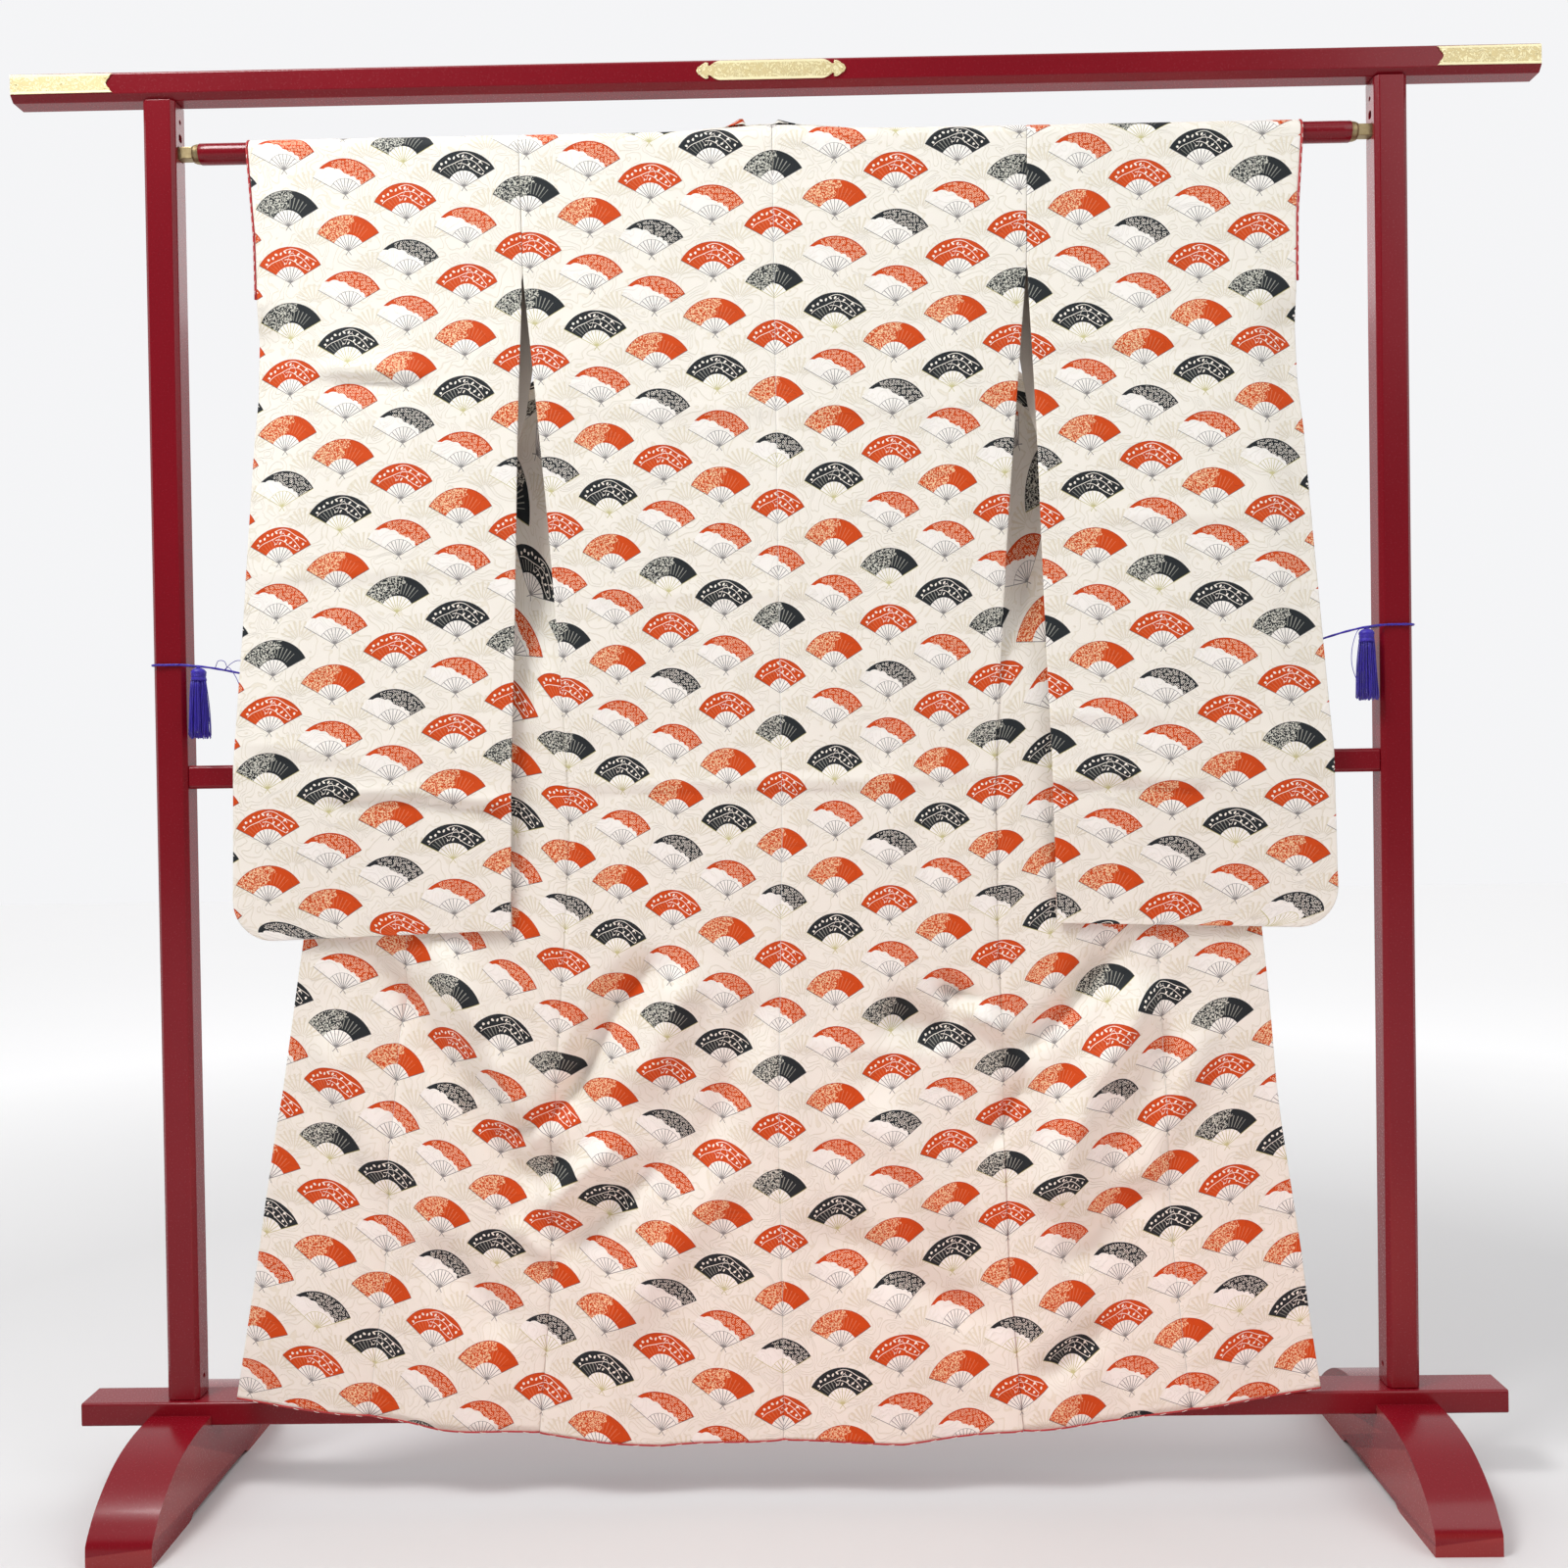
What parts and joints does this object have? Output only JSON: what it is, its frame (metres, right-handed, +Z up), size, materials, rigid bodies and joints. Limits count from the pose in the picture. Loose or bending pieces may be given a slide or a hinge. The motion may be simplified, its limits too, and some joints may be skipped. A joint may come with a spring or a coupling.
{
  "type": "furisode kimono on a lacquered kimono stand",
  "caption": "Long-sleeved lined silk kimono hung by its sleeves over the pole of a free-standing lacquered wooden kimono stand, seen from the garment's back.",
  "frame": {"origin": "on the floor, under the middle of the stand", "axes": "+Z up, +X along the pole and the beam, the back of the garment faces -Y"},
  "size_m": [1.88, 0.4106, 1.762],
  "materials": {
    "figured_silk": "ivory figured satin printed with vermilion and black folding fans",
    "red_lining": "plain red lining silk",
    "lacquer": "glossy maroon lacquer",
    "brass": "pale gold, engraved",
    "violet_cord": "twisted silk cord and tassel threads"
  },
  "bodies": {
    "root": {"body_panel_left": "figured_silk", "body_panel_right": "figured_silk", "sleeve_left": "figured_silk", "sleeve_right": "figured_silk", "okumi_left": "figured_silk", "okumi_right": "figured_silk", "collar": "figured_silk", "cuff_lining_left": "red_lining", "cuff_lining_right": "red_lining", "hem_lining_front_left": "red_lining", "hem_lining_front_right": "red_lining", "hem_lining_back": "red_lining", "top_beam": "lacquer", "pole": "lacquer", "mid_rail": "lacquer", "base_board": "lacquer", "post_left": "lacquer", "post_right": "lacquer", "foot_left": "lacquer", "foot_right": "lacquer", "centre_plate": "brass", "end_plate_left": "brass", "end_plate_right": "brass", "cord_span": "violet_cord", "cord_loop_left": "violet_cord", "cord_loop_right": "violet_cord", "tassel_left": "violet_cord", "tassel_right": "violet_cord"}
  },
  "joints": []
}
